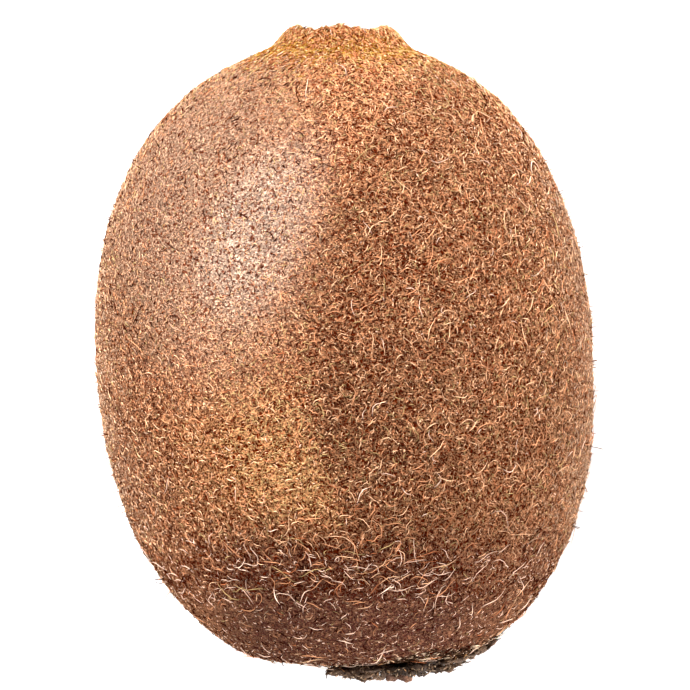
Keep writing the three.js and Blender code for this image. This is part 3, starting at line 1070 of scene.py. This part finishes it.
            # The stem end's hairs take darker tones, greyer at the very end, partly their own colour and partly
            # painted shade. Pale hairs among them are brightened.
            edge = root[:, 1] + 1.2 * swirl(root, 11.0, 21)
            share = 0.75 * step(-18.0, -22.0, edge) * (0.45 + 0.55 * step(*UPPER_SIDE, root[:, 2]))
            share = share * (1.0 - 0.4 * step(9.0, 17.0, root[:, 0]))
            plum = draw.random(count) < share
            grey = draw.random(count) < step(-23.5, -27.0, root[:, 1])
            mixed = np.where(grey, draw.choice(GREY_MIX, count), draw.choice(PLUM_MIX, count))
            tone = np.where(plum, mixed, tone)
            crisp = plum & (tone == Tone.FROST)
            shade = np.where(crisp, np.maximum(shade, 1.15), shade)
            width = np.where(crisp, 0.85 * width, width)
        dark = (tone == Tone.GAP) | ((tone == Tone.BROWN) & (bare_and_sheen > 0.3))
        width = np.where(dark, 1.35 * width, width)
        speck = (tone == Tone.GAP) & (bare_and_sheen > 0.3)
        rise, length = np.where(speck, 0.26, rise), np.where(speck, 1.2 * length, length)
        chance = {Zone.CURLS: 0.04 + 0.16 * limb, Zone.LONG: 0.03}.get(zone, 0.0)
        stray = draw.random(count) < chance
        rise = np.where(stray, 0.75 * length, rise)
        short = stray & (limb > 0.3)
        tone, length = np.where(short, Tone.BROWN, tone), np.where(short, 0.65 * length, length)
        spread = spread * (1 - 0.65 * near_collar) * (1 - 0.5 * bare_and_sheen)
        length = length * (1 + 0.35 * near_collar)
        wave = {Zone.STUBBLE: 0.0, Zone.FUZZ: 0.0, Zone.CURLS: 0.07, Zone.LONG: 0.06}[zone]
        heading = self.flow(root, normal, spread)
        return Coat(root, normal, heading, length, width, curl, rise, tone, shade, wave)

    def tuft(self) -> bpy.types.Object:
        """Dense golden fuzz on the collar.

        Returns:
            The piece.
        """
        middle = self.ground.middle
        away = np.hypot(middle[:, 0], middle[:, 2] - 23.45)
        around = step(11.5, 6.5, away) * 0.85 + 0.15 * step(14.0, 10.0, away)
        weight = np.where(middle[:, 1] > 0, 1.0, 0.0) * around
        weight *= 0.4 + 0.6 * step(2.2, 4.2, away)
        draw = self.draw
        root, normal = self.ground.scatter(draw, 19.0, weight)
        count = len(root)
        heading = self.flow(root, normal, np.full(count, 0.55))
        lean = np.array([0.0, 0.55, 0.0])
        normal = normal + lean
        normal /= np.linalg.norm(normal, axis=1, keepdims=True)
        heading = along_surface(heading, normal)
        length = draw.uniform(0.6, 1.2, count) * (1 - 0.65 * step(31.8, 33.4, root[:, 1]))
        # Painted shade on the tuft's right side.
        coat = Coat(
            root, normal, heading, length, draw.uniform(0.085, 0.125, count), draw.normal(0, 1.1, count),
            length * draw.uniform(0.15, 0.35, count), draw.choice(TONES, count),
            draw.normal(0.97, 0.12, count) - 0.15 * step(4.0, 8.0, root[:, 0]),
        )
        piece = mesh_of_hairs("collar_tuft", coat, model_hair(1))
        gold = HairFinish("collar_gold", GOLD_TONES)
        hand_over(piece, gold.build(), "skin")
        return piece


@dataclass
class DriedRemains:
    """Calyx, stalk stub and styles, all dried. Lengths are in millimetres."""

    crumple: float = 0.16
    clearance: float = 0.36
    fibre_density: float = 5.0
    fringe_density: float = 15.0
    stalk: tuple[float, float, float] = (5.8, -36.0, 23.6)
    seed: int = 8

    def build(self, skin: Skin) -> list[bpy.types.Object]:
        """Makes the three pieces and the calyx's fibres.

        Args:
            skin: The skin against which they lie.

        Returns:
            The pieces.
        """
        calyx = copy_of_node("dried_calyx", "withered_calyx", 1)
        self.settle(calyx, skin, 0.88, 0.5)
        self.wrinkle(calyx, 1.1, self.crumple)
        self.wrinkle(calyx, 0.45, 0.5 * self.crumple)
        brown = DryFinish(
            "calyx_brown", (0.045, 0.022, 0.012), (0.24, 0.135, 0.078), (0.46, 0.32, 0.21), streak=0.22, dark_middle=True
        )
        hand_over(calyx, brown.build(), "calyx", "dried_calyx")
        fibres = self.fibres(calyx, skin)
        stub = copy_of_node("stalk_stub", "torn_stalk", 1)
        self.settle(stub, skin, 1.0, 1.0)
        self.wrinkle(stub, 0.7, 0.08)
        wood = DryFinish("stalk_wood", (0.06, 0.02, 0.01), (0.28, 0.115, 0.055), (0.42, 0.24, 0.14))
        hand_over(stub, wood.build(), "wood", "stalk_stub")
        styles = copy_of_node("dried_styles", "withered_styles", 1)
        black = DryFinish("style_black", (0.03, 0.014, 0.006), (0.13, 0.062, 0.028), (0.26, 0.15, 0.08))
        hand_over(styles, black.build(), "styles", "dried_styles")
        return [calyx, fibres, stub, styles]

    def settle(self, piece: bpy.types.Object, skin: Skin, near: float, far: float) -> None:
        """Presses a piece against the skin it grew on, closing the CAD model's clearance.

        Args:
            piece: The piece.
            skin: The skin.
            near: Share of its thickness that it keeps near the stalk.
            far: The same out on the longest sepal.
        """
        mesh = skin.piece.data
        tree = BVHTree.FromPolygons([v.co for v in mesh.vertices], [p.vertices for p in mesh.polygons])
        for vertex in piece.data.vertices:
            foot, normal, _, _ = tree.find_nearest(vertex.co)
            height = (vertex.co - foot).dot(normal) / MM
            out = min(max((vertex.co.x / MM - 7.0) / 5.0, 0.0), 1.0)
            vertex.co = foot + normal * ((height - self.clearance) * (near + (far - near) * out) * MM)
        piece.data.update()

    def fibres(self, calyx: bpy.types.Object, skin: Skin) -> bpy.types.Object:
        """Frays the calyx and its edge on the skin with fine dry fibres that lie outwards.

        Args:
            calyx: The calyx.
            skin: The skin.

        Returns:
            The piece.
        """
        draw = np.random.default_rng(self.seed)
        tree = KDTree(len(calyx.data.vertices))
        for i, vertex in enumerate(calyx.data.vertices):
            tree.insert(vertex.co, i)
        tree.balance()
        ground, edge = Ground(calyx), Ground(skin.piece)
        at_stem = np.flatnonzero(edge.middle[:, 1] < -20.0)
        away = np.full(len(edge.middle), 99.0)
        away[at_stem] = [tree.find(edge.middle[i] * MM)[2] / MM for i in at_stem]
        place = edge.middle
        above = step(3.6, 2.0, away) * step(24.0, 27.0, place[:, 2])
        above = above * step(3.0, 5.0, place[:, 0]) * step(-29.8, -30.6, place[:, 1])
        root, normal = ground.scatter(draw, self.fibre_density, np.ones(len(ground.areas)))
        rim = np.maximum(step(1.6, 0.5, away), above)
        rim_root, rim_normal = edge.scatter(draw, self.fringe_density, rim)
        root, normal = np.concatenate([root, rim_root]), np.concatenate([normal, rim_normal])
        count = len(root)
        outward = root - np.array(self.stalk)
        outward /= np.linalg.norm(outward, axis=1, keepdims=True)
        heading = along_surface(outward + 0.5 * draw.normal(size=(count, 3)), normal)
        at_rim = np.arange(count) >= count - len(rim_root)
        length = draw.gamma(4.0, 0.13, count).clip(0.25, 1.3) * np.where(at_rim, 1.3, 1.0)
        tone = draw.choice(TONES, count, p=(0.16, 0.18, 0.17, 0.14, 0.11, 0.11, 0.09, 0.04))
        tone = np.where(at_rim & (draw.random(count) < 0.8), draw.choice([0, 0, 0, 1, 6], count), tone)
        coat = Coat(
            root, normal, heading, length, draw.uniform(0.1, 0.2, count), draw.normal(0, 1.2, count),
            length * draw.uniform(0.03, 0.25, count), tone, draw.normal(1.0, 0.12, count),
        )
        piece = mesh_of_hairs("calyx_fibres", coat, model_hair(1))
        hand_over(piece, HairFinish("calyx_fibre", STRAW_TONES).build(), "calyx")
        return piece

    @staticmethod
    def wrinkle(piece: bpy.types.Object, size: float, depth: float) -> None:
        """Crumples a piece's surface.

        Args:
            piece: The piece.
            size: Size of the folds in millimetres.
            depth: Their depth in millimetres.
        """
        mesh = piece.data
        count = len(mesh.vertices)
        points, normals = np.empty(count * 3, np.float32), np.empty(count * 3, np.float32)
        mesh.vertices.foreach_get("co", points)
        mesh.vertices.foreach_get("normal", normals)
        points, normals = points.reshape(-1, 3), normals.reshape(-1, 3)
        fold = swirl(points / MM, size, 11) + 0.5 * swirl(points / MM, 0.45 * size, 12)
        points += normals * (depth * MM * fold[:, None])
        mesh.vertices.foreach_set("co", points.ravel())
        mesh.update()


@dataclass
class Studio:
    """Pale floor, soft lights and the camera over the fruit. Sizes are in metres."""

    view_width: float = 0.071875
    view_height: float = 0.9
    middle: tuple[float, float] = (0.00017, 0.00089)
    outline_level: float = 0.0225
    wall: float = 0.35

    def build(self) -> None:
        """Sets up the studio."""
        self.floor()
        self.lights()
        self.camera()

    def floor(self) -> None:
        """Adds the floor."""
        bpy.ops.object.select_all(action="DESELECT")
        bpy.ops.mesh.primitive_circle_add(vertices=96, radius=1.6, fill_type="NGON", location=(0.0, 0.0, 0.0))
        floor = bpy.context.object
        floor.name = "floor"
        bpy.ops.object.mode_set(mode="EDIT")
        bpy.ops.mesh.select_mode(type="EDGE")
        bpy.ops.mesh.select_all(action="SELECT")
        bpy.ops.mesh.extrude_edges_move(TRANSFORM_OT_translate={"value": (0.0, 0.0, self.wall)})
        bpy.ops.object.mode_set(mode="OBJECT")
        floor.data.materials.append(FloorFinish().build())

    def lights(self) -> None:
        """Adds the key light from the picture's top left, a top light, a rim light and two weak ones."""
        self.area("key", (-0.24, 0.64, 0.36), 0.06, 11.0)
        self.area("over", (-0.14, 0.20, 0.78), 0.12, 5.6)
        self.area("left", (-0.60, 0.15, 0.33), 0.20, 1.2)
        self.area("rim", (0.65, -0.10, 0.15), 0.30, 5.5)
        self.area("stem", (0.06, -0.60, 0.14), 0.20, 1.5)
        world = bpy.data.worlds.new("studio")
        world.use_nodes = True
        world.node_tree.nodes["Background"].inputs["Color"].default_value = (1.0, 0.99, 0.98, 1.0)
        world.node_tree.nodes["Background"].inputs["Strength"].default_value = 0.04
        bpy.context.scene.world = world
        bpy.context.scene.view_settings.view_transform = "Standard"

    @staticmethod
    def area(name: str, place: tuple[float, float, float], size: float, power: float) -> None:
        """Adds a square soft light that faces the fruit.

        Args:
            name: Its name.
            place: Where it hangs.
            size: Its side.
            power: Its power in watts.
        """
        data = bpy.data.lights.new(name, "AREA")
        data.size, data.energy = size, power
        light = bpy.data.objects.new(name, data)
        light.visible_camera = False
        bpy.context.scene.collection.objects.link(light)
        away = np.array(place) - np.array([0.0, 0.0, 0.02])
        flat = math.hypot(away[0], away[1])
        light.location = place
        light.rotation_euler = (math.atan2(flat, away[2]), 0.0, math.atan2(away[0], -away[1]))

    def camera(self) -> None:
        """Adds the camera, which looks straight down with the collar at the picture's top."""
        data = bpy.data.cameras.new("camera")
        data.sensor_width = 36.0
        data.lens = 36.0 * (self.view_height - self.outline_level) / self.view_width
        camera = bpy.data.objects.new("camera", data)
        camera.location = (*self.middle, self.view_height)
        bpy.context.scene.collection.objects.link(camera)
        bpy.context.scene.camera = camera


def main() -> None:
    """Builds the sub-assemblies in order."""
    logging.basicConfig(level=logging.INFO, format="%(name)s %(message)s")
    skin = Skin()
    skin.build()
    hairs = Fuzz().lay(skin)
    remains = DriedRemains().build(skin)
    Studio().build()
    log.info("%d hair pieces, %d dried pieces", len(hairs), len(remains))


if __name__ == "__main__":
    main()
